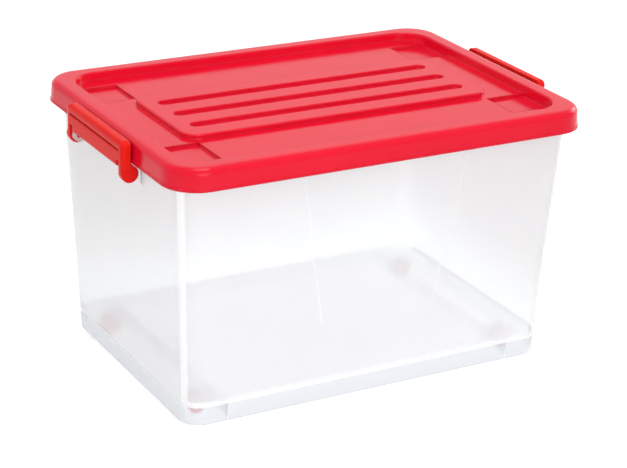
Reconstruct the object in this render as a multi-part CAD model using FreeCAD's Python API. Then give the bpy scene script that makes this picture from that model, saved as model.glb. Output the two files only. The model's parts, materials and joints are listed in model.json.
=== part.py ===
"""Clear storage box on four hidden wheels, with a ribbed lid held down by two latch handles.

Millimetres, +Z up. The origin is on the ground under the middle of the box. The long side runs
along X, the front faces -Y, and each short side carries one latch handle.
"""

import FreeCAD
import Part
import math
import os
from FreeCAD import Vector

# Tub: outside sizes at its rim, and how far its walls lean in from there to the bottom edge
TUB_TOP_LENGTH = 555.5
TUB_TOP_WIDTH = 388.0
TUB_HEIGHT = 345.3
WALL_LEAN = 17.2
TUB_TOP_CORNER = 30.0
TUB_BASE_CORNER = 28.0
TUB_WALL = 2.2
FLOOR_THICKNESS = 2.5
FLOOR_BEVEL = 4.0
GROUND_GAP = 3.0

# Rim: a flange round the mouth, with a lip turned down at its outer edge
RIM_FLANGE = 10.2
RIM_LIP = 14.0

# Slanting stiffening lines on the two long walls
LINE_TOP_X = 118.0
LINE_FOOT_X = 80.0
LINE_TOP_DROP = 24.0
LINE_LENGTH = 212.0
LINE_WIDTH = 2.0
LINE_PROUD = 0.5

# Wheels, each on a pin between two cheeks that hang from the floor
WHEEL_DIAMETER = 24.0
WHEEL_WIDTH = 17.0
WHEEL_TOP_GAP = 3.0
WHEEL_INSET_X = 32.0
WHEEL_INSET_Y = 48.0
AXLE_RADIUS = 2.0
AXLE_FIT = 0.06
AXLE_HOLD = 0.01
AXLE_END = 1.5
WHEEL_GAP = 0.4
CHEEK_THICKNESS = 2.5
CHEEK_REACH = 12.0
CHEEK_DROP = 6.0
CHEEK_FOOT = 5.0
SNAP_SLOT = 3.3
RIB_THICKNESS = 2.0
RIB_INSET = 54.5
STACK_GAP = 1.0

# Lid: a drawn shell with a sunk panel, a ribbed plateau and four wheel pockets
LID_WALL = 2.2
LID_FIT = 0.6
LID_SEAT = 0.3
LID_SKIRT = 28.0
SKIRT_LEAN = 1.8
LID_EDGE_ROUND = 8.0
LID_EDGE_STEPS = 4
SKIRT_BEAD = 0.8
SKIRT_BEAD_HEIGHT = 3.2
PLUG_GAP = 7.0
RECESS_DEPTH = 11.0
RECESS_CORNER = 40.0
RECESS_DRAFT = 1.2
RECESS_BEVEL = 1.4
PLATEAU_MARGIN_X = 47.3
PLATEAU_MARGIN_Y = 99.2
PLATEAU_HEIGHT = 6.0
PLATEAU_CORNER = 21.0
PLATEAU_BEVEL = 1.2
GROOVE_COUNT = 3
GROOVE_WIDTH = 17.0
GROOVE_DEPTH = 4.0
GROOVE_MARGIN = 21.5
GROOVE_BEVEL = 0.9
POCKET_DEPTH = 3.6
POCKET_MARGIN_X = 8.0
POCKET_MARGIN_IN_Y = 29.0
POCKET_MARGIN_OUT_Y = 16.0

# Handles: a bar, a rail below it and two arms that turn on pins in the tub's brackets
HANDLE_SPAN = 170.0
HANDLE_THICKNESS = 12.0
HANDLE_GAP = 1.5
HANDLE_TOP_DROP = 0.5
HANDLE_ROUND = 4.5
HANDLE_ROUND_STEPS = 3
HANDLE_END_ROUND = 7.0
HANDLE_WALL = 2.2
ARM_WIDTH = 10.0
ARM_GAP = 0.6
RAIL_RISE = 3.0
RAIL_DROP = 6.0
RAIL_END_GAP = 1.2
RAIL_BEVEL = 1.0
FINGER_GROOVE = 2.6
FOOT_RADIUS = 11.0
PIVOT_DROP = 13.3
PIVOT_RADIUS = 3.5
PIVOT_FIT = 0.06
BRACKET_WIDTH = 4.5
BRACKET_RADIUS = 8.0
BRACKET_GUSSET = 16.0
GRIP_POCKETS = 4
GRIP_TOP = 5.0

# Places worked out from the sizes above
TUB_BASE_LENGTH = TUB_TOP_LENGTH - 2 * WALL_LEAN
TUB_BASE_WIDTH = TUB_TOP_WIDTH - 2 * WALL_LEAN
BASE_Z = GROUND_GAP
RIM_Z = BASE_Z + TUB_HEIGHT
FLOOR_UNDER_Z = WHEEL_DIAMETER + WHEEL_TOP_GAP
FLOOR_Z = FLOOR_UNDER_Z + FLOOR_THICKNESS
RIM_BEVEL = LID_EDGE_ROUND - LID_WALL
RIM_LENGTH = TUB_TOP_LENGTH + 2 * RIM_FLANGE
RIM_WIDTH = TUB_TOP_WIDTH + 2 * RIM_FLANGE
RIM_CORNER = TUB_TOP_CORNER + RIM_FLANGE
LID_TOP = RIM_Z + LID_SEAT + LID_WALL
SKIRT_Z = LID_TOP - LID_SKIRT
SKIRT_SLOPE = SKIRT_LEAN / LID_SKIRT
SKIRT_OUT = LID_FIT + LID_WALL
BEAD_OUT = SKIRT_OUT + SKIRT_BEAD
LID_LENGTH = RIM_LENGTH + 2 * (BEAD_OUT + SKIRT_SLOPE * (RIM_Z - SKIRT_Z))
RECESS_LENGTH = TUB_TOP_LENGTH - 2 * (TUB_WALL + PLUG_GAP + LID_WALL)
RECESS_WIDTH = TUB_TOP_WIDTH - 2 * (TUB_WALL + PLUG_GAP + LID_WALL)
PANEL_Z = LID_TOP - RECESS_DEPTH
PANEL_LENGTH = RECESS_LENGTH - 2 * RECESS_DRAFT
PANEL_WIDTH = RECESS_WIDTH - 2 * RECESS_DRAFT
PLATEAU_LENGTH = RECESS_LENGTH - 2 * PLATEAU_MARGIN_X
PLATEAU_WIDTH = RECESS_WIDTH - 2 * PLATEAU_MARGIN_Y
PLATEAU_Z = PANEL_Z + PLATEAU_HEIGHT
GROOVE_LENGTH = PLATEAU_LENGTH - 2 * GROOVE_MARGIN
GROOVE_PITCH = (PLATEAU_WIDTH + GROOVE_WIDTH) / (GROOVE_COUNT + 1)
GROOVE_Z = PLATEAU_Z - GROOVE_DEPTH
WHEEL_RADIUS = WHEEL_DIAMETER / 2
WHEEL_X = TUB_BASE_LENGTH / 2 - WHEEL_INSET_X
WHEEL_Y = TUB_BASE_WIDTH / 2 - WHEEL_INSET_Y
RIB_X = TUB_BASE_LENGTH / 2 - RIB_INSET
POCKET_X = WHEEL_X - WHEEL_RADIUS - POCKET_MARGIN_X
POCKET_IN_Y = WHEEL_Y - WHEEL_WIDTH / 2 - POCKET_MARGIN_IN_Y
POCKET_OUT_Y = WHEEL_Y + WHEEL_WIDTH / 2 + POCKET_MARGIN_OUT_Y
POCKET_Z = PANEL_Z - POCKET_DEPTH
RIB_Z = BASE_Z + PLATEAU_HEIGHT + STACK_GAP
BAR_IN_X = LID_LENGTH / 2 + HANDLE_GAP
BAR_OUT_X = BAR_IN_X + HANDLE_THICKNESS
PIVOT_X = BAR_OUT_X - FOOT_RADIUS
PIVOT_Z = SKIRT_Z - PIVOT_DROP
BAR_TOP_Z = LID_TOP - HANDLE_TOP_DROP
ARM_OUT_Y = HANDLE_SPAN / 2
ARM_IN_Y = ARM_OUT_Y - ARM_WIDTH
BRACKET_OUT_Y = ARM_IN_Y - ARM_GAP
BRACKET_IN_Y = BRACKET_OUT_Y - BRACKET_WIDTH
RAIL_HALF = BRACKET_IN_Y - RAIL_END_GAP
RAIL_TOP_Z = RIM_Z - RIM_LIP + RAIL_RISE
RAIL_BOTTOM_Z = SKIRT_Z - RAIL_DROP
RAIL_END_Z = SKIRT_Z + RAIL_END_GAP
BAR_BOTTOM_Z = RAIL_TOP_Z + FINGER_GROOVE

# How far a cutting tool runs past the face that it opens, and how near two places count as one
PAST = 1.0
SAME = 1e-4
SIDES = {"left": -1, "right": 1}
ENDS = {"front": -1, "rear": 1}


def share(z, low, high):
    """A size of the drafted tub at height z, from its size at the bottom edge and at the rim."""
    return low + (high - low) * (z - BASE_Z) / TUB_HEIGHT


def tub_length(z):
    return share(z, TUB_BASE_LENGTH, TUB_TOP_LENGTH)


def tub_width(z):
    return share(z, TUB_BASE_WIDTH, TUB_TOP_WIDTH)


def tub_corner(z):
    return share(z, TUB_BASE_CORNER, TUB_TOP_CORNER)


def rounded_wire(length, width, corner, z):
    """A rectangle with round corners, centred on the Z axis at height z."""
    x = length / 2
    y = width / 2
    slant = corner * (1 - math.sqrt(0.5))
    edges = []
    for sx, sy, turn in ((1, -1, 1), (1, 1, -1), (-1, 1, 1), (-1, -1, -1)):
        along = Vector(sx * (x - corner), sy * y, z)
        middle = Vector(sx * (x - slant), sy * (y - slant), z)
        across = Vector(sx * x, sy * (y - corner), z)
        start, end = (along, across) if turn > 0 else (across, along)
        if edges:
            edges.append(Part.LineSegment(edges[-1].Vertexes[-1].Point, start).toShape())
        edges.append(Part.Arc(start, middle, end).toShape())
    edges.append(Part.LineSegment(edges[-1].Vertexes[-1].Point, edges[0].Vertexes[0].Point).toShape())
    return Part.Wire(edges)


def slab(length, width, corner, low, high):
    """An upright block with round corners."""
    face = Part.Face(rounded_wire(length, width, corner, low))
    return face.extrude(Vector(0, 0, high - low))


def drafted(bottom, low, top, high):
    """A block whose (length, width, corner) changes evenly from the bottom to the top."""
    wires = [rounded_wire(*bottom, low), rounded_wire(*top, high)]
    return Part.makeLoft(wires, True, True)


def box(x0, x1, y0, y1, z0, z1):
    return Part.makeBox(x1 - x0, y1 - y0, z1 - z0, Vector(x0, y0, z0))


def level_edges(shape, z, keep=lambda edge: True):
    """The edges of a shape that lie level at height z."""
    found = []
    for edge in shape.Edges:
        limits = edge.BoundBox
        if abs(limits.ZMin - z) < SAME and abs(limits.ZMax - z) < SAME and keep(edge):
            found.append(edge)
    return found


def bevelled_level(shape, size, z, keep=lambda edge: True):
    return shape.makeChamfer(size, level_edges(shape, z, keep))


def along_y(points, y0, y1):
    """A plate from y0 to y1, whose outline in XZ is given by points."""
    corners = [Vector(x, y0, z) for x, z in points]
    face = Part.Face(Part.makePolygon(corners + corners[:1]))
    return face.extrude(Vector(0, y1 - y0, 0))


def rod_y(x, z, radius, y0, y1):
    return Part.makeCylinder(radius, y1 - y0, Vector(x, y0, z), Vector(0, 1, 0))


def mirrored_x(shape):
    return shape.mirror(Vector(0, 0, 0), Vector(1, 0, 0))


def mirrored_y(shape):
    return shape.mirror(Vector(0, 0, 0), Vector(0, 1, 0))


def fused(shapes):
    return shapes[0].multiFuse(shapes[1:]).removeSplitter()


def tub_block(low, high, inset):
    """The drafted block of the tub between two heights, taken in by inset on every side."""
    sizes = []
    for z in (low, high):
        corner = max(tub_corner(z) - inset, PAST)
        sizes.append((tub_length(z) - 2 * inset, tub_width(z) - 2 * inset, corner))
    return drafted(sizes[0], low, sizes[1], high)


def rim_wire(grow, z):
    """The outline of the rim, which spreads a little downward, grown by grow on every side."""
    out = grow + SKIRT_SLOPE * (RIM_Z - z)
    return rounded_wire(RIM_LENGTH + 2 * out, RIM_WIDTH + 2 * out, RIM_CORNER + out, z)


def rim_block(grow, low, high):
    return Part.makeLoft([rim_wire(grow, low), rim_wire(grow, high)], True, True)


def tub_rim():
    """The flange round the mouth and the lip that hangs from its edge, an even wall thick."""
    outer = rim_block(0, RIM_Z - RIM_LIP, RIM_Z)
    under = rim_block(-TUB_WALL, RIM_Z - RIM_LIP - PAST, RIM_Z - TUB_WALL)
    inner_bevel = RIM_BEVEL - (2 - math.sqrt(2)) * TUB_WALL
    outer = bevelled_level(outer, RIM_BEVEL, RIM_Z)
    return outer.cut(bevelled_level(under, inner_bevel, RIM_Z - TUB_WALL))


def tub_bracket():
    """One bracket for a handle's pin, on the right side, at the rear end of the handle."""
    lug = rod_y(PIVOT_X, PIVOT_Z, BRACKET_RADIUS, BRACKET_IN_Y, BRACKET_OUT_Y)
    wall_x = tub_length(PIVOT_Z - BRACKET_RADIUS - BRACKET_GUSSET) / 2 - TUB_WALL
    web_x = RIM_LENGTH / 2 - TUB_WALL / 2
    foot_z = PIVOT_Z - BRACKET_RADIUS
    web = along_y(
        [
            (wall_x, foot_z - BRACKET_GUSSET),
            (PIVOT_X - BRACKET_RADIUS, foot_z),
            (PIVOT_X, foot_z),
            (PIVOT_X, SKIRT_Z - PAST),
            (web_x, SKIRT_Z - PAST),
            (web_x, RIM_Z - RIM_BEVEL),
            (RIM_LENGTH / 2 - RIM_BEVEL, RIM_Z - TUB_WALL / 2),
            (wall_x, RIM_Z - TUB_WALL / 2),
        ],
        BRACKET_IN_Y,
        BRACKET_OUT_Y,
    )
    hole = rod_y(PIVOT_X, PIVOT_Z, PIVOT_RADIUS + PIVOT_FIT, BRACKET_IN_Y - PAST, BRACKET_OUT_Y + PAST)
    return lug.fuse(web).cut(hole)


def tub_line():
    """One slanting line on the rear wall, right half, standing a little proud of the wall."""
    wires = []
    for x, z in ((LINE_FOOT_X, RIM_Z - LINE_TOP_DROP - LINE_LENGTH), (LINE_TOP_X, RIM_Z - LINE_TOP_DROP)):
        y = tub_width(z) / 2
        half = LINE_WIDTH / 2
        corners = [
            Vector(x - half, y - TUB_WALL / 2, z),
            Vector(x + half, y - TUB_WALL / 2, z),
            Vector(x + half / 2, y + LINE_PROUD, z),
            Vector(x - half / 2, y + LINE_PROUD, z),
        ]
        wires.append(Part.makePolygon(corners + corners[:1]))
    return Part.makeLoft(wires, True, True)


def wheel_cheek(y0):
    """One cheek of the right rear wheel: a plate with a snap-in seat for the pin."""
    y1 = y0 + CHEEK_THICKNESS
    top_z = FLOOR_UNDER_Z + FLOOR_THICKNESS / 2
    foot_z = WHEEL_RADIUS - CHEEK_DROP
    plate = along_y(
        [
            (RIB_X, top_z),
            (RIB_X, foot_z),
            (WHEEL_X + CHEEK_FOOT, foot_z),
            (WHEEL_X + CHEEK_REACH, top_z),
        ],
        y0,
        y1,
    )
    seat = rod_y(WHEEL_X, WHEEL_RADIUS, AXLE_RADIUS + AXLE_FIT, y0 - PAST, y1 + PAST)
    slot = box(WHEEL_X - SNAP_SLOT / 2, WHEEL_X + SNAP_SLOT / 2, y0 - PAST, y1 + PAST, 0, WHEEL_RADIUS)
    return plate.cut(seat.fuse(slot))


def tub_underside():
    """The cross ribs under the floor and the cheeks of the four wheels."""
    half_gap = WHEEL_WIDTH / 2 + WHEEL_GAP
    rib = box(
        RIB_X,
        RIB_X + RIB_THICKNESS,
        -TUB_TOP_WIDTH / 2,
        TUB_TOP_WIDTH / 2,
        RIB_Z,
        FLOOR_UNDER_Z + FLOOR_THICKNESS / 2,
    ).common(tub_block(BASE_Z, FLOOR_Z, TUB_WALL / 2))
    inner = wheel_cheek(WHEEL_Y - half_gap - CHEEK_THICKNESS)
    outer = wheel_cheek(WHEEL_Y + half_gap)
    right = [rib, inner, outer, mirrored_y(inner), mirrored_y(outer)]
    return right + [mirrored_x(shape) for shape in right]


def tub_inside():
    """The room inside the tub, with a bevel where the walls meet the floor."""
    bevel_z = FLOOR_Z + FLOOR_BEVEL
    sizes = []
    for inset in (TUB_WALL + FLOOR_BEVEL, TUB_WALL):
        corner = tub_corner(bevel_z) - inset
        sizes.append((tub_length(bevel_z) - 2 * inset, tub_width(bevel_z) - 2 * inset, corner))
    foot = drafted(sizes[0], FLOOR_Z, sizes[1], bevel_z)
    return foot.fuse(tub_block(bevel_z, RIM_Z + PAST, TUB_WALL))


def make_tub():
    """The clear tub: drafted walls, raised floor, rim, brackets and wheel seats in one moulding."""
    outer = tub_block(BASE_Z, RIM_Z, 0)
    inside = tub_inside()
    beneath = tub_block(BASE_Z - PAST, FLOOR_UNDER_Z, TUB_WALL)
    shell = outer.fuse(tub_rim())
    bracket = tub_bracket()
    line = tub_line()
    additions = [bracket, mirrored_y(bracket), line, mirrored_y(line)]
    additions += [mirrored_x(shape) for shape in additions]
    whole = fused([shell] + additions)
    return fused([whole.cut(inside).cut(beneath)] + tub_underside())


def rolled(radius, steps):
    """The steps of a rounded edge: how far each one is set in from the side and down from the top."""
    turns = [math.pi / 2 * step / steps for step in range(steps + 1)]
    return [(radius * (1 - math.cos(turn)), radius * (1 - math.sin(turn))) for turn in turns]


def lid_shell():
    """The skirt and the rolled top edge, still closed on top, with the bead round its foot."""
    bead_z = SKIRT_Z + SKIRT_BEAD_HEIGHT
    wires = [rim_wire(SKIRT_OUT, SKIRT_Z)]
    for inset, drop in rolled(LID_EDGE_ROUND, LID_EDGE_STEPS):
        wires.append(rim_wire(SKIRT_OUT - inset, LID_TOP - drop))
    bead = bevelled_level(rim_block(BEAD_OUT, SKIRT_Z, bead_z), SKIRT_BEAD, bead_z)
    return Part.makeLoft(wires, True, True).fuse(bead)


def lid_hollow():
    """What is cut from below, so that the skirt and the top edge are a wall thick."""
    top_z = LID_TOP - LID_WALL
    return bevelled_level(rim_block(LID_FIT, SKIRT_Z - PAST, top_z), RIM_BEVEL, top_z)


def recess_block(grow, low, high):
    """The drafted block of the sunk panel between two heights, grown by a wall or by nothing."""
    draft = RECESS_DRAFT / RECESS_DEPTH
    sizes = []
    for z in (low, high):
        inset = (LID_TOP - z) * draft - grow
        corner = RECESS_CORNER - inset
        sizes.append((RECESS_LENGTH - 2 * inset, RECESS_WIDTH - 2 * inset, corner))
    return drafted(sizes[0], low, sizes[1], high)


def pocket_block(grow, low, high):
    """The four wheel pockets, each bounded at its outer end by the sunk panel's own wall."""
    corner = box(POCKET_X - grow, RECESS_LENGTH, POCKET_IN_Y - grow, POCKET_OUT_Y + grow, low, high)
    half = [corner, mirrored_y(corner)]
    boxes = half + [mirrored_x(shape) for shape in half]
    return Part.Compound(boxes).common(recess_block(grow, low, high))


def groove_block(grow, low, high):
    """The plateau's grooves, with round ends."""
    radius = GROOVE_WIDTH / 2 + grow
    reach = GROOVE_LENGTH / 2 - GROOVE_WIDTH / 2
    grooves = []
    for number in range(GROOVE_COUNT):
        y = (number - (GROOVE_COUNT - 1) / 2) * GROOVE_PITCH
        middle = box(-reach, reach, y - radius, y + radius, low, high)
        ends = [Part.makeCylinder(radius, high - low, Vector(side * reach, y, low)) for side in (-1, 1)]
        grooves.append(fused([middle] + ends))
    return Part.Compound(grooves)


def make_lid():
    """The lid, an even wall thick: skirt, rim, sunk panel, wheel pockets, grooved plateau."""
    panel_under = PANEL_Z - LID_WALL
    recess_end = RECESS_LENGTH / 2 + PAST
    groove_end = GROOVE_LENGTH / 2 + PAST
    shell = lid_shell().cut(lid_hollow())
    shell = shell.fuse(recess_block(LID_WALL, panel_under, LID_TOP - LID_WALL / 2))
    shell = shell.cut(recess_block(0, PANEL_Z, LID_TOP + PAST))
    shell = bevelled_level(shell, RECESS_BEVEL, LID_TOP, lambda edge: edge.BoundBox.XMax < recess_end)
    pockets = pocket_block(LID_WALL, POCKET_Z - LID_WALL, PANEL_Z - LID_WALL / 2)
    plateau = slab(PLATEAU_LENGTH, PLATEAU_WIDTH, PLATEAU_CORNER, panel_under, PLATEAU_Z)
    plateau = bevelled_level(plateau, PLATEAU_BEVEL, PLATEAU_Z)
    shell = fused([shell, pockets, plateau])
    shell = shell.cut(pocket_block(0, POCKET_Z, PANEL_Z + PAST))
    shell = shell.cut(
        slab(
            PLATEAU_LENGTH - 2 * LID_WALL,
            PLATEAU_WIDTH - 2 * LID_WALL,
            PLATEAU_CORNER - LID_WALL,
            panel_under - PAST,
            PLATEAU_Z - LID_WALL,
        )
    )
    shell = shell.fuse(groove_block(LID_WALL, GROOVE_Z - LID_WALL, PLATEAU_Z - LID_WALL / 2))
    shell = shell.cut(groove_block(0, GROOVE_Z, PLATEAU_Z + PAST))
    shell = bevelled_level(shell, GROOVE_BEVEL, PLATEAU_Z, lambda edge: edge.BoundBox.XMax < groove_end)
    return shell.removeSplitter()


def handle_outline(inset, x):
    """The outline of the bar and both arms across the handle at x, taken in at its top and ends."""
    y = ARM_OUT_Y - inset
    z = BAR_TOP_Z - inset
    corner = HANDLE_END_ROUND - inset
    slant = corner * (1 - math.sqrt(0.5))
    left = [Vector(x, -y, z - corner), Vector(x, slant - y, z - slant), Vector(x, corner - y, z)]
    right = [Vector(x, y - corner, z), Vector(x, y - slant, z - slant), Vector(x, y, z - corner)]
    foot = Part.makePolygon([right[-1], Vector(x, y, PIVOT_Z), Vector(x, -y, PIVOT_Z), left[0]])
    top = Part.LineSegment(left[-1], right[0]).toShape()
    return Part.Wire([Part.Arc(*left).toShape(), top, Part.Arc(*right).toShape()] + foot.Edges)


def handle_frame():
    """The bar and the two arm plates, as one upside-down U with round outer edges."""
    wires = [handle_outline(0, BAR_IN_X)]
    for inset, drop in rolled(HANDLE_ROUND, HANDLE_ROUND_STEPS):
        wires.append(handle_outline(inset, BAR_OUT_X - drop))
    plate = Part.makeLoft(wires, True, True)
    window = box(BAR_IN_X - PAST, BAR_OUT_X + PAST, -ARM_IN_Y, ARM_IN_Y, PIVOT_Z - PAST, BAR_BOTTOM_Z)
    return plate.cut(window)


def handle_foot():
    """The round foot of the rear arm, with the pin that turns in the tub's bracket."""
    foot = rod_y(PIVOT_X, PIVOT_Z, FOOT_RADIUS, ARM_IN_Y, ARM_OUT_Y)
    pin = rod_y(PIVOT_X, PIVOT_Z, PIVOT_RADIUS, BRACKET_IN_Y, ARM_IN_Y + PAST)
    return foot.fuse(pin)


def handle_rail():
    """The rail under the finger groove. Its upper part runs from arm to arm over the brackets."""
    low = box(BAR_IN_X, BAR_OUT_X, -RAIL_HALF, RAIL_HALF, RAIL_BOTTOM_Z, RAIL_END_Z + HANDLE_WALL)
    high = box(BAR_IN_X, BAR_OUT_X, -ARM_IN_Y - PAST, ARM_IN_Y + PAST, RAIL_END_Z, RAIL_TOP_Z)
    rail = low.fuse(high).removeSplitter()
    outer_edges = [edge for edge in rail.Edges if edge.BoundBox.XMin > BAR_OUT_X - SAME]
    rail = rail.makeChamfer(RAIL_BEVEL, outer_edges)
    web = box(
        BAR_IN_X,
        BAR_IN_X + HANDLE_WALL,
        -ARM_IN_Y,
        ARM_IN_Y,
        RAIL_TOP_Z - HANDLE_WALL,
        BAR_BOTTOM_Z + HANDLE_WALL,
    )
    return rail.fuse(web)


def grip_pockets(half_run, low, high):
    """A row of pockets on the handle's hidden face between two heights, with ribs between them."""
    run = 2 * half_run - HANDLE_WALL
    length = run / GRIP_POCKETS - HANDLE_WALL
    pockets = []
    for number in range(GRIP_POCKETS):
        y = -run / 2 + HANDLE_WALL / 2 + number * (length + HANDLE_WALL)
        pockets.append(box(BAR_IN_X - PAST, BAR_OUT_X - HANDLE_WALL, y, y + length, low, high))
    return Part.Compound(pockets)


def make_handle():
    """The right latch handle: bar, rail, arms and the two pins, in one moulding."""
    foot = handle_foot()
    whole = fused([handle_frame(), handle_rail(), foot, mirrored_y(foot)])
    bar_pockets = grip_pockets(ARM_IN_Y, BAR_BOTTOM_Z + HANDLE_WALL, BAR_TOP_Z - GRIP_TOP)
    rail_pockets = grip_pockets(RAIL_HALF, RAIL_BOTTOM_Z + HANDLE_WALL, RAIL_TOP_Z - HANDLE_WALL)
    return whole.cut(bar_pockets).cut(rail_pockets).removeSplitter()


def make_wheel(x, y):
    """A solid roller about Y, bored for the pin that turns with it."""
    tread = rod_y(x, WHEEL_RADIUS, WHEEL_RADIUS, y - WHEEL_WIDTH / 2, y + WHEEL_WIDTH / 2)
    return tread.cut(rod_y(x, WHEEL_RADIUS, AXLE_RADIUS + AXLE_HOLD, y - WHEEL_WIDTH, y + WHEEL_WIDTH))


def make_axle(x, y):
    """A wheel's pin, which runs a little way out past both cheeks."""
    reach = WHEEL_WIDTH / 2 + WHEEL_GAP + CHEEK_THICKNESS + AXLE_END
    return rod_y(x, WHEEL_RADIUS, AXLE_RADIUS, y - reach, y + reach)


def build():
    nodes = {"tub": make_tub(), "lid": make_lid()}
    handle = make_handle()
    nodes["handle_right"] = handle
    nodes["handle_left"] = mirrored_x(handle)
    for end_name, end in ENDS.items():
        for side_name, side in SIDES.items():
            place = end_name + "_" + side_name
            nodes["wheel_" + place] = make_wheel(side * WHEEL_X, end * WHEEL_Y)
            nodes["axle_" + place] = make_axle(side * WHEEL_X, end * WHEEL_Y)
    return nodes


def main():
    os.makedirs("parts", exist_ok=True)
    for name, shape in build().items():
        solids = shape.Solids
        print(name, len(solids), "solid", shape.isValid(), round(shape.Volume), "mm3")
        body = solids[0] if len(solids) == 1 else Part.Compound(solids)
        body.exportStep("parts/" + name + ".step")


main()
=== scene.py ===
import json
import math

import bpy
from mathutils import Matrix, Vector

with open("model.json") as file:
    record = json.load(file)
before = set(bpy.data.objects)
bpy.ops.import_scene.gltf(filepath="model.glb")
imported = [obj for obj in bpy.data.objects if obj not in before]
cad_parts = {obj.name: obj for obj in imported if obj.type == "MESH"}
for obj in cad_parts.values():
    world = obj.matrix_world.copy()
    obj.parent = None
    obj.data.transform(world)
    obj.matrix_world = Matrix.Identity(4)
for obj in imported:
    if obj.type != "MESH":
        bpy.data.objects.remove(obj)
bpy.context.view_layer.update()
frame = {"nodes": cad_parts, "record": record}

# View of the photograph: degrees for the angles, metres for the places, millimetres for the lens
VIEW_AZIMUTH = -29.72
VIEW_ELEVATION = 22.06
VIEW_ROLL = 1.92
VIEW_TARGET = Vector((-0.0158, -0.0415, 0.1691))
VIEW_DISTANCE = 2.648
VIEW_LENS = 116.72
SENSOR_WIDTH = 36.0

# Light: the world's even level, and each lamp's place, size in metres and power in watts
WORLD_LEVEL = 0.65
WHITE = (1.0, 1.0, 1.0, 1.0)
LAMP_AIM = Vector((0.0, 0.0, 0.2))
LAMPS = {
    "lamp_top": ((-0.05, -0.3, 2.3), (1.0, 0.45), 17.0),
    "lamp_front": ((-0.3, -2.6, 0.9), (1.6, 1.2), 22.5),
    "lamp_left": ((-2.3, -0.9, 1.0), (0.5, 0.5), 6.0),
    "lamp_right": ((2.4, 0.5, 1.2), (1.2, 1.0), 16.0),
}

# Edges: how finely they are sampled, and the cosine of the normal's turn where an edge starts and is full
EDGE_SAMPLES = 4
EDGE_TURN = (0.97, 0.75)

# The part of its range that most noise lies in
NOISE_RANGE = (0.3, 0.7)

# Hairlines: how much they wander, the noise that is a line, and how often and where they break
HAIR_WANDER = 0.3
HAIR_RANGE = (0.66, 0.72)
HAIR_BREAKS = 14.0
HAIR_BREAK_RANGE = (0.45, 0.65)

# How deep the slow waves of a moulding are, in metres
WAVE_DEPTH = 0.002

# Red plastic: how it bends light and how far its edges are rounded, in metres
RED_IOR = 1.49
RED_SOFTNESS = 0.0032

# Its lumps to a metre: pigment clouds and specks, worn and dull patches, hairlines, slow waves and grain
RED_CLOUDS = 11.0
RED_SPECKS = 420.0
RED_WORN = 90.0
RED_DULL = 23.0
RED_HAIRS = 60.0
RED_WAVES = 9.0
RED_GRAIN = 2400.0

# How strong those are: pigment and wear by their noise, dullness as roughness, the grain's depth in metres
RED_CLOUD_RANGE = (0.12, 0.4)
RED_WORN_RANGE = (0.45, 0.75)
RED_WORN_MOST = 0.3
RED_DULL_SWING = 0.03
RED_HAIR_DULL = 0.05
RED_HAIR_STRETCHES = ((1.0, 14.0, 1.0), (14.0, 1.0, 1.0))
RED_WAVE_STRENGTH = 0.12
RED_GRAIN_DEPTH = 0.00003

# Clear plastic: how it bends light, how far its edges are rounded, in metres, and the lamplight it lets by
CLEAR_IOR = 1.3
CLEAR_SOFTNESS = 0.0022
CLEAR_SHADOW = (0.97, 0.97, 0.97, 1.0)

# Its tints: cloudy in the walls, painted shade for the foot, bluish on the level floor against the red lid's
# pink light, and grey painted shade inside
CLEAR_TINTS = ((0.952, 0.967, 0.98, 1.0), (0.968, 0.982, 0.99, 1.0))
FOOT_SHADE_TINT = (0.81, 0.835, 0.87, 1.0)
FLOOR_TINT = (0.93, 0.97, 1.0, 1.0)
SHADE_TINT = (0.78, 0.785, 0.795, 1.0)

# Its lumps to a metre: clouds, rubbed and dull patches, hairlines, slow waves and grain
CLEAR_CLOUDS = 16.0
CLEAR_RUBBED = 70.0
CLEAR_DULL = 12.0
CLEAR_HAIRS = 40.0
CLEAR_WAVES = 6.0
CLEAR_GRAIN = 1500.0

# How strong those are: rubbed patches by their noise, dullness as roughness, and the grain's depth in metres
CLEAR_RUBBED_RANGE = (0.4, 0.65)
CLEAR_RUBBED_DULL = 0.04
CLEAR_DULL_RANGE = (0.05, 0.09)
CLEAR_FROST_DULL = 0.1
CLEAR_HAIR_DULL = 0.03
CLEAR_HAIR_STRETCHES = ((1.0, 1.0, 16.0), (12.0, 12.0, 1.0))
CLEAR_WAVE_STRENGTH = 0.1
CLEAR_GRAIN_DEPTH = 0.00002
CLEAR_GRAIN_STRENGTH = 0.2

# How clear it is: where light enters the walls and the foot from outside, where it enters the walls from
# inside, low and high, in the level floor, on the way out, and the part of that left in thick places and in
# painted corner highlights
WALL_CLEARNESS = 0.55
FOOT_CLEARNESS = 0.5
INSIDE_CLEARNESS = (0.85, 0.25)
FLOOR_CLEARNESS = 0.5
LEAVING_CLEARNESS = 0.97
THICK_AND_HIGHLIGHT_CLEARNESS = 0.25

# Heights on the tub in metres: the low and the high inside, the shade inside, the rubbed foot and the floor
# plate with its bevel
INSIDE_HEIGHTS = (0.05, 0.13)
SHADE_HEIGHTS = (0.03, 0.15)
FOOT_HEIGHTS = (0.02, 0.003)
FLOOR_PLATE = (0.0268, 0.032)

# The ribs under the floor: how far they are from the middle, and half their thickness, in metres
RIB_PLACE = 0.206
RIB_HALF = 0.0014

# The tub's faces, told apart by a part of their normal, from where a kind starts to where it is full
INWARD_TURN = (0.0, -0.02)
LEVEL_TURN = (0.9, 0.98)
UPRIGHT_TURN = (0.9, 0.5)
LONG_WALL_TURN = (0.9, 0.95)
# The shoulders mark a milkier band on each upright corner, a painted highlight for the corners' bright
# stripe
SHOULDER_START = (0.2, 0.3)
SHOULDER_END = (0.65, 0.55)

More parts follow.
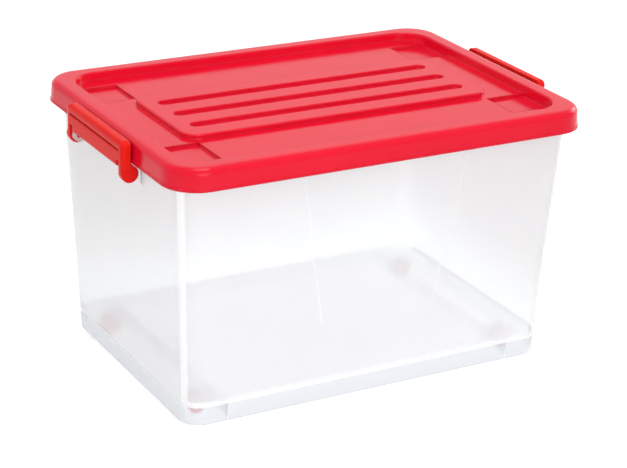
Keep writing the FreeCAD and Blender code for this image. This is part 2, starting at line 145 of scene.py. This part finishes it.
# Steel of the pins: lumps to a metre, how far they are drawn out, colours, roughness and depth in metres
STEEL_LINES = 900.0
STEEL_STRETCH = (1.0, 0.03, 1.0)
STEEL_PATCHES = 120.0
STEEL_PATCH_RANGE = (0.35, 0.7)
STEEL_COLOURS = ((0.62, 0.62, 0.63, 1.0), (0.5, 0.5, 0.5, 1.0))
STEEL_ROUGHNESS = (0.22, 0.4)
STEEL_DEPTH = 0.00002
STEEL_STRENGTH = 0.4

# The paper under the box: half its width in metres, its tones, and how far it is lifted to white where it is
# seen directly and where it is seen through the clear plastic
FLOOR_HALF = 6.0
FLOOR_CLOUDS = 3.0
FLOOR_TONES = ((0.85, 0.85, 0.85, 1.0), (0.88, 0.88, 0.88, 1.0))
FLOOR_ROUGHNESS = 0.8
FLOOR_LIFT = 0.4
FLOOR_THROUGH = 0.95


def add(tree, kind, inputs=None, **settings):
    """Adds a node. An input that is another node's socket is linked, and any other is set."""
    made = tree.nodes.new(kind)
    for name, value in settings.items():
        setattr(made, name, value)
    for name, value in (inputs or {}).items():
        if isinstance(value, bpy.types.NodeSocket):
            tree.links.new(value, made.inputs[name])
        else:
            made.inputs[name].default_value = value
    return made


def new_material(name):
    """An empty node material, its tree and its output node."""
    made = bpy.data.materials.new(name)
    made.use_nodes = True
    made.node_tree.nodes.clear()
    return made, made.node_tree, made.node_tree.nodes.new("ShaderNodeOutputMaterial")


def place(tree, stretch=(1.0, 1.0, 1.0)):
    """The point on the object in metres, stretched along the axes."""
    point = add(tree, "ShaderNodeTexCoord").outputs["Object"]
    return add(tree, "ShaderNodeMapping", {"Vector": point, "Scale": stretch}).outputs["Vector"]


def noise(tree, scale, detail=2.0, stretch=(1.0, 1.0, 1.0), distortion=0.0):
    """Noise from 0 to 1, with about scale lumps to a metre."""
    settings = {"Vector": place(tree, stretch), "Scale": scale, "Detail": detail, "Distortion": distortion}
    return add(tree, "ShaderNodeTexNoise", settings).outputs["Fac"]


def spread(tree, value, low, high, to_low, to_high):
    """A value between low and high, clamped and spread between two others."""
    settings = {"Value": value, "From Min": low, "From Max": high, "To Min": to_low, "To Max": to_high}
    return add(tree, "ShaderNodeMapRange", settings).outputs["Result"]


def mask(tree, value, start, full):
    """0 where a value is at the start or before it, growing to 1 where it is full."""
    return spread(tree, value, start, full, 0.0, 1.0)


def maths(tree, operation, first, *others):
    """Values joined by one operation, from the first to the last."""
    for other in others:
        first = add(tree, "ShaderNodeMath", {0: first, 1: other}, operation=operation).outputs["Value"]
    return first


def unsigned(tree, value):
    return add(tree, "ShaderNodeMath", {0: value}, operation="ABSOLUTE").outputs["Value"]


def near(tree, value, middle, reach):
    """1 where a value lies within reach of the middle, and 0 elsewhere."""
    inputs = {0: value, 1: middle, 2: reach}
    return add(tree, "ShaderNodeMath", inputs, operation="COMPARE").outputs["Value"]


def dot(tree, first, second):
    made = add(tree, "ShaderNodeVectorMath", {0: first, 1: second}, operation="DOT_PRODUCT")
    return made.outputs["Value"]


def between(tree, factor, first, second):
    """A number between two numbers. The mix node's sockets share names, so they go by their places."""
    return add(tree, "ShaderNodeMix", {0: factor, 2: first, 3: second}, data_type="FLOAT").outputs[0]


def mixed(tree, factor, first, second):
    """A colour between two colours."""
    return add(tree, "ShaderNodeMix", {0: factor, 6: first, 7: second}, data_type="RGBA").outputs[2]


def soft_edges(tree, radius):
    """A normal that runs smoothly round sharp edges, and a mask that is 1 on those edges."""
    round_normal = add(tree, "ShaderNodeBevel", {"Radius": radius}, samples=EDGE_SAMPLES).outputs["Normal"]
    flat_normal = add(tree, "ShaderNodeNewGeometry").outputs["True Normal"]
    return round_normal, mask(tree, dot(tree, round_normal, flat_normal), *EDGE_TURN)


def bumped(tree, height, distance, strength, normal=None):
    settings = {"Height": height, "Distance": distance, "Strength": strength}
    if normal is not None:
        settings["Normal"] = normal
    return add(tree, "ShaderNodeBump", settings).outputs["Normal"]


def hairlines(tree, scale, stretches):
    """Thin, broken lines in each direction that noise is stretched: 1 on a line, and 0 between."""
    lines = []
    for stretch in stretches:
        drawn = noise(tree, scale, detail=1.0, stretch=stretch, distortion=HAIR_WANDER)
        lines.append(mask(tree, drawn, *HAIR_RANGE))
    broken = mask(tree, noise(tree, HAIR_BREAKS), *HAIR_BREAK_RANGE)
    return maths(tree, "MULTIPLY", maths(tree, "MAXIMUM", *lines), broken)


def moulded(name, deep, pale, worn, roughness, grain, mirror):
    """Coloured moulded plastic: cloudy pigment, fine grain, faint hairlines and paler worn edges."""
    made, tree, output = new_material(name)
    normal, edge = soft_edges(tree, RED_SOFTNESS)
    cloud = maths(tree, "MULTIPLY", noise(tree, RED_CLOUDS, detail=3.0), noise(tree, RED_SPECKS))
    colour = mixed(tree, mask(tree, cloud, *RED_CLOUD_RANGE), deep, pale)
    wear = spread(tree, noise(tree, RED_WORN, detail=3.0), *RED_WORN_RANGE, 0.0, RED_WORN_MOST)
    colour = mixed(tree, maths(tree, "MULTIPLY", edge, wear), colour, worn)
    dull_range = (roughness - RED_DULL_SWING, roughness + RED_DULL_SWING)
    dull = spread(tree, noise(tree, RED_DULL, detail=4.0), *NOISE_RANGE, *dull_range)
    hairs = maths(tree, "MULTIPLY", hairlines(tree, RED_HAIRS, RED_HAIR_STRETCHES), RED_HAIR_DULL)
    normal = bumped(tree, noise(tree, RED_WAVES), WAVE_DEPTH, RED_WAVE_STRENGTH, normal)
    normal = bumped(tree, noise(tree, RED_GRAIN), RED_GRAIN_DEPTH, grain, normal)
    shader = add(
        tree,
        "ShaderNodeBsdfPrincipled",
        {
            "Base Color": colour,
            "Roughness": maths(tree, "ADD", dull, hairs),
            "Normal": normal,
            "IOR": RED_IOR,
            "Specular IOR Level": mirror,
        },
    )
    tree.links.new(shader.outputs["BSDF"], output.inputs["Surface"])
    return made


def lid_plastic():
    return moulded(
        "lid_plastic",
        deep=(0.69, 0.003, 0.022, 1.0),
        pale=(0.75, 0.005, 0.028, 1.0),
        worn=(0.8, 0.05, 0.08, 1.0),
        roughness=0.16,
        grain=0.15,
        mirror=0.18,
    )


def handle_plastic():
    return moulded(
        "handle_plastic",
        deep=(0.72, 0.01, 0.007, 1.0),
        pale=(0.78, 0.017, 0.012, 1.0),
        worn=(0.8, 0.07, 0.06, 1.0),
        roughness=0.16,
        grain=0.2,
        mirror=0.05,
    )


def wheel_plastic():
    return moulded(
        "wheel_plastic",
        deep=(0.62, 0.008, 0.018, 1.0),
        pale=(0.74, 0.014, 0.03, 1.0),
        worn=(0.7, 0.2, 0.2, 1.0),
        roughness=0.38,
        grain=0.6,
        mirror=0.3,
    )


def tub_places(tree):
    """The height on the tub, and masks that are 1 in its places and on its kinds of faces."""
    point = add(tree, "ShaderNodeSeparateXYZ", {"Vector": place(tree)}).outputs
    normal = add(tree, "ShaderNodeTexCoord").outputs["Normal"]
    facing = add(tree, "ShaderNodeSeparateXYZ", {"Vector": normal}).outputs
    from_middle = place(tree, (1.0, 1.0, 0.0))
    up_or_down = unsigned(tree, facing["Z"])
    along_width = unsigned(tree, facing["Y"])
    low, high = FLOOR_PLATE
    rib = near(tree, unsigned(tree, point["X"]), RIB_PLACE, RIB_HALF)
    shoulder_start = mask(tree, along_width, *SHOULDER_START)
    shoulder_end = mask(tree, along_width, *SHOULDER_END)
    return {
        "height": point["Z"],
        "inward": mask(tree, dot(tree, normal, from_middle), *INWARD_TURN),
        "level": mask(tree, up_or_down, *LEVEL_TURN),
        "upright": mask(tree, up_or_down, *UPRIGHT_TURN),
        "long_wall": mask(tree, along_width, *LONG_WALL_TURN),
        "shoulder": maths(tree, "MULTIPLY", shoulder_start, shoulder_end),
        "below": maths(tree, "LESS_THAN", point["Z"], low),
        "plate": near(tree, point["Z"], (low + high) / 2, (high - low) / 2),
        "rib": maths(tree, "MULTIPLY", rib, maths(tree, "LESS_THAN", point["Z"], high)),
    }


def clear_tint(tree, tub):
    """Slightly cloudy, with painted shade: greyer under the floor, and towards the lid on the long walls'
    inner faces.
    """
    tint = mixed(tree, mask(tree, noise(tree, CLEAR_CLOUDS, detail=3.0), *NOISE_RANGE), *CLEAR_TINTS)
    # Painted shade: below the floor plate the plastic is tinted greyer, for the shade under the box
    tint = mixed(tree, tub["below"], tint, FOOT_SHADE_TINT)
    # Painted against light: the level floor is tinted bluish to cancel the pink light the red lid throws on
    # it
    tint = mixed(tree, tub["level"], tint, FLOOR_TINT)
    # Painted shade: the long walls' inner faces turn grey from low down upwards, for the lid's shade inside
    shade = mask(tree, tub["height"], *SHADE_HEIGHTS)
    shade = maths(tree, "MULTIPLY", tub["long_wall"], shade, tub["inward"])
    return mixed(tree, shade, tint, SHADE_TINT)


def clear_roughness(tree, tub):
    """Smooth in patches, duller on hairlines, on the rubbed foot, and on inner, level and foot faces."""
    dull = spread(tree, noise(tree, CLEAR_DULL, detail=4.0), *NOISE_RANGE, *CLEAR_DULL_RANGE)
    hairs = hairlines(tree, CLEAR_HAIRS, CLEAR_HAIR_STRETCHES)
    foot = mask(tree, tub["height"], *FOOT_HEIGHTS)
    rubbed = mask(tree, noise(tree, CLEAR_RUBBED, detail=3.0), *CLEAR_RUBBED_RANGE)
    frosted = maths(tree, "MAXIMUM", tub["inward"], tub["level"], tub["below"])
    return maths(
        tree,
        "ADD",
        dull,
        maths(tree, "MULTIPLY", hairs, CLEAR_HAIR_DULL),
        maths(tree, "MULTIPLY", foot, rubbed, CLEAR_RUBBED_DULL),
        maths(tree, "MULTIPLY", frosted, CLEAR_FROST_DULL),
    )


def clearness(tree, tub):
    """How much light passes the clear plastic: less in its edges and beside the floor plate and the ribs,
    where it is thicker, and in a band on the shoulders of its upright corners, a painted highlight for the
    corners' bright stripe."""
    # Painted highlight: the corners' shoulders are made milkier; the plate, the ribs and the edges for their
    # real thickness
    thick_and_highlight = maths(tree, "MULTIPLY", maths(tree, "MAXIMUM", tub["plate"], tub["shoulder"]), tub["upright"])
    thick_and_highlight = maths(tree, "MAXIMUM", thick_and_highlight, tub["rib"], soft_edges(tree, CLEAR_SOFTNESS)[1])
    thick_and_highlight = maths(tree, "MULTIPLY", thick_and_highlight, maths(tree, "SUBTRACT", 1.0, tub["inward"]))
    inside = spread(tree, tub["height"], *INSIDE_HEIGHTS, *INSIDE_CLEARNESS)
    clear = between(tree, tub["below"], WALL_CLEARNESS, FOOT_CLEARNESS)
    clear = between(tree, tub["inward"], clear, inside)
    clear = between(tree, tub["level"], clear, FLOOR_CLEARNESS)
    clear = maths(tree, "MULTIPLY", clear, between(tree, thick_and_highlight, 1.0, THICK_AND_HIGHLIGHT_CLEARNESS))
    leaving = add(tree, "ShaderNodeNewGeometry").outputs["Backfacing"]
    leaving = maths(tree, "MAXIMUM", maths(tree, "MULTIPLY", tub["inward"], tub["below"]), leaving)
    return maths(tree, "MAXIMUM", clear, maths(tree, "MULTIPLY", leaving, LEAVING_CLEARNESS))


def clear_plastic():
    """Milky clear polypropylene, with slow moulding waves, faint hairlines and a rubbed foot."""
    made, tree, output = new_material("clear_plastic")
    tub = tub_places(tree)
    normal = bumped(tree, noise(tree, CLEAR_WAVES, detail=1.0), WAVE_DEPTH, CLEAR_WAVE_STRENGTH)
    normal = bumped(tree, noise(tree, CLEAR_GRAIN), CLEAR_GRAIN_DEPTH, CLEAR_GRAIN_STRENGTH, normal)
    shader = add(
        tree,
        "ShaderNodeBsdfPrincipled",
        {
            "Base Color": clear_tint(tree, tub),
            "Roughness": clear_roughness(tree, tub),
            "Normal": normal,
            "IOR": CLEAR_IOR,
            "Transmission Weight": clearness(tree, tub),
        },
    )
    shadow = add(tree, "ShaderNodeBsdfTransparent", {"Color": CLEAR_SHADOW})
    from_lamp = add(tree, "ShaderNodeLightPath").outputs["Is Shadow Ray"]
    shaders = {0: from_lamp, 1: shader.outputs["BSDF"], 2: shadow.outputs["BSDF"]}
    both = add(tree, "ShaderNodeMixShader", shaders)
    tree.links.new(both.outputs["Shader"], output.inputs["Surface"])
    return made


def pin_steel():
    """Drawn steel wire: fine lines along the pin and a slight darkening in patches."""
    made, tree, output = new_material("pin_steel")
    lines = noise(tree, STEEL_LINES, detail=3.0, stretch=STEEL_STRETCH)
    patches = mask(tree, noise(tree, STEEL_PATCHES, detail=3.0), *STEEL_PATCH_RANGE)
    shader = add(
        tree,
        "ShaderNodeBsdfPrincipled",
        {
            "Base Color": mixed(tree, patches, *STEEL_COLOURS),
            "Roughness": spread(tree, lines, *NOISE_RANGE, *STEEL_ROUGHNESS),
            "Normal": bumped(tree, lines, STEEL_DEPTH, STEEL_STRENGTH),
            "Metallic": 1.0,
        },
    )
    tree.links.new(shader.outputs["BSDF"], output.inputs["Surface"])
    return made


def seen_directly(tree):
    """1 for a ray from the camera, straight or by way of a mirror or a clear wall, and 0 for light."""
    path = add(tree, "ShaderNodeLightPath").outputs
    return maths(tree, "MAXIMUM", path["Is Camera Ray"], path["Is Glossy Ray"], path["Is Transmission Ray"])


def floor_paper():
    """A pale paper floor that reads as white and keeps the box's shadow."""
    made, tree, output = new_material("floor_paper")
    tone = mixed(tree, noise(tree, FLOOR_CLOUDS, detail=4.0), *FLOOR_TONES)
    paper = add(tree, "ShaderNodeBsdfPrincipled", {"Base Color": tone, "Roughness": FLOOR_ROUGHNESS})
    strength = maths(tree, "MULTIPLY", seen_directly(tree), FLOOR_LIFT)
    glow = add(tree, "ShaderNodeEmission", {"Color": WHITE, "Strength": strength})
    both = add(tree, "ShaderNodeAddShader", {0: paper.outputs["BSDF"], 1: glow.outputs["Emission"]})
    white = add(tree, "ShaderNodeEmission", {"Color": WHITE, "Strength": 1.0})
    through = add(tree, "ShaderNodeLightPath").outputs["Is Transmission Ray"]
    through = maths(tree, "MULTIPLY", through, FLOOR_THROUGH)
    shaders = {0: through, 1: both.outputs["Shader"], 2: white.outputs["Emission"]}
    seen = add(tree, "ShaderNodeMixShader", shaders)
    tree.links.new(seen.outputs["Shader"], output.inputs["Surface"])
    return made


def make_floor():
    corners = [(x * FLOOR_HALF, y * FLOOR_HALF, 0.0) for x, y in ((-1, -1), (1, -1), (1, 1), (-1, 1))]
    mesh = bpy.data.meshes.new("floor")
    mesh.from_pydata(corners, [], [(0, 1, 2, 3)])
    mesh.materials.append(floor_paper())
    floor = bpy.data.objects.new("floor", mesh)
    bpy.context.scene.collection.objects.link(floor)


def make_world():
    """White to the eye, and an even soft light at a plain level for the object."""
    world = bpy.data.worlds.new("studio")
    bpy.context.scene.world = world
    world.use_nodes = True
    tree = world.node_tree
    tree.nodes.clear()
    strength = spread(tree, seen_directly(tree), 0.0, 1.0, WORLD_LEVEL, 1.0)
    sky = add(tree, "ShaderNodeBackground", {"Color": WHITE, "Strength": strength})
    output = tree.nodes.new("ShaderNodeOutputWorld")
    tree.links.new(sky.outputs["Background"], output.inputs["Surface"])


def make_lamps():
    for name, (where, size, power) in LAMPS.items():
        data = bpy.data.lights.new(name, "AREA")
        data.shape = "RECTANGLE"
        data.size, data.size_y = size
        data.energy = power
        lamp = bpy.data.objects.new(name, data)
        lamp.location = where
        lamp.rotation_mode = "QUATERNION"
        lamp.rotation_quaternion = (LAMP_AIM - Vector(where)).to_track_quat("-Z", "Y")
        bpy.context.scene.collection.objects.link(lamp)


def make_camera():
    """The photograph's view: round the target by azimuth and elevation, then turned by the roll."""
    turn = math.radians(VIEW_AZIMUTH)
    rise = math.radians(VIEW_ELEVATION)
    back = Vector((math.sin(turn) * math.cos(rise), -math.cos(turn) * math.cos(rise), math.sin(rise)))
    data = bpy.data.cameras.new("camera")
    data.sensor_fit = "HORIZONTAL"
    data.sensor_width = SENSOR_WIDTH
    data.lens = VIEW_LENS
    camera = bpy.data.objects.new("camera", data)
    level = (-back).to_track_quat("-Z", "Y").to_matrix()
    rolled = Matrix.Rotation(math.radians(VIEW_ROLL), 3, back) @ level
    camera.matrix_world = Matrix.LocRotScale(VIEW_TARGET + back * VIEW_DISTANCE, rolled, None)
    bpy.context.scene.collection.objects.link(camera)
    bpy.context.scene.camera = camera


def dress():
    """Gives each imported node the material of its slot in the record."""
    looks = {}
    for maker in (clear_plastic, lid_plastic, handle_plastic, wheel_plastic, pin_steel):
        looks[maker.__name__] = maker()
    for part in frame["record"]["subparts"]:
        mesh = frame["nodes"][part["node"]].data
        mesh.materials.clear()
        mesh.materials.append(looks[part["material_slot"]])


dress()
make_floor()
make_world()
make_lamps()
make_camera()
bpy.context.scene.view_settings.view_transform = "Standard"
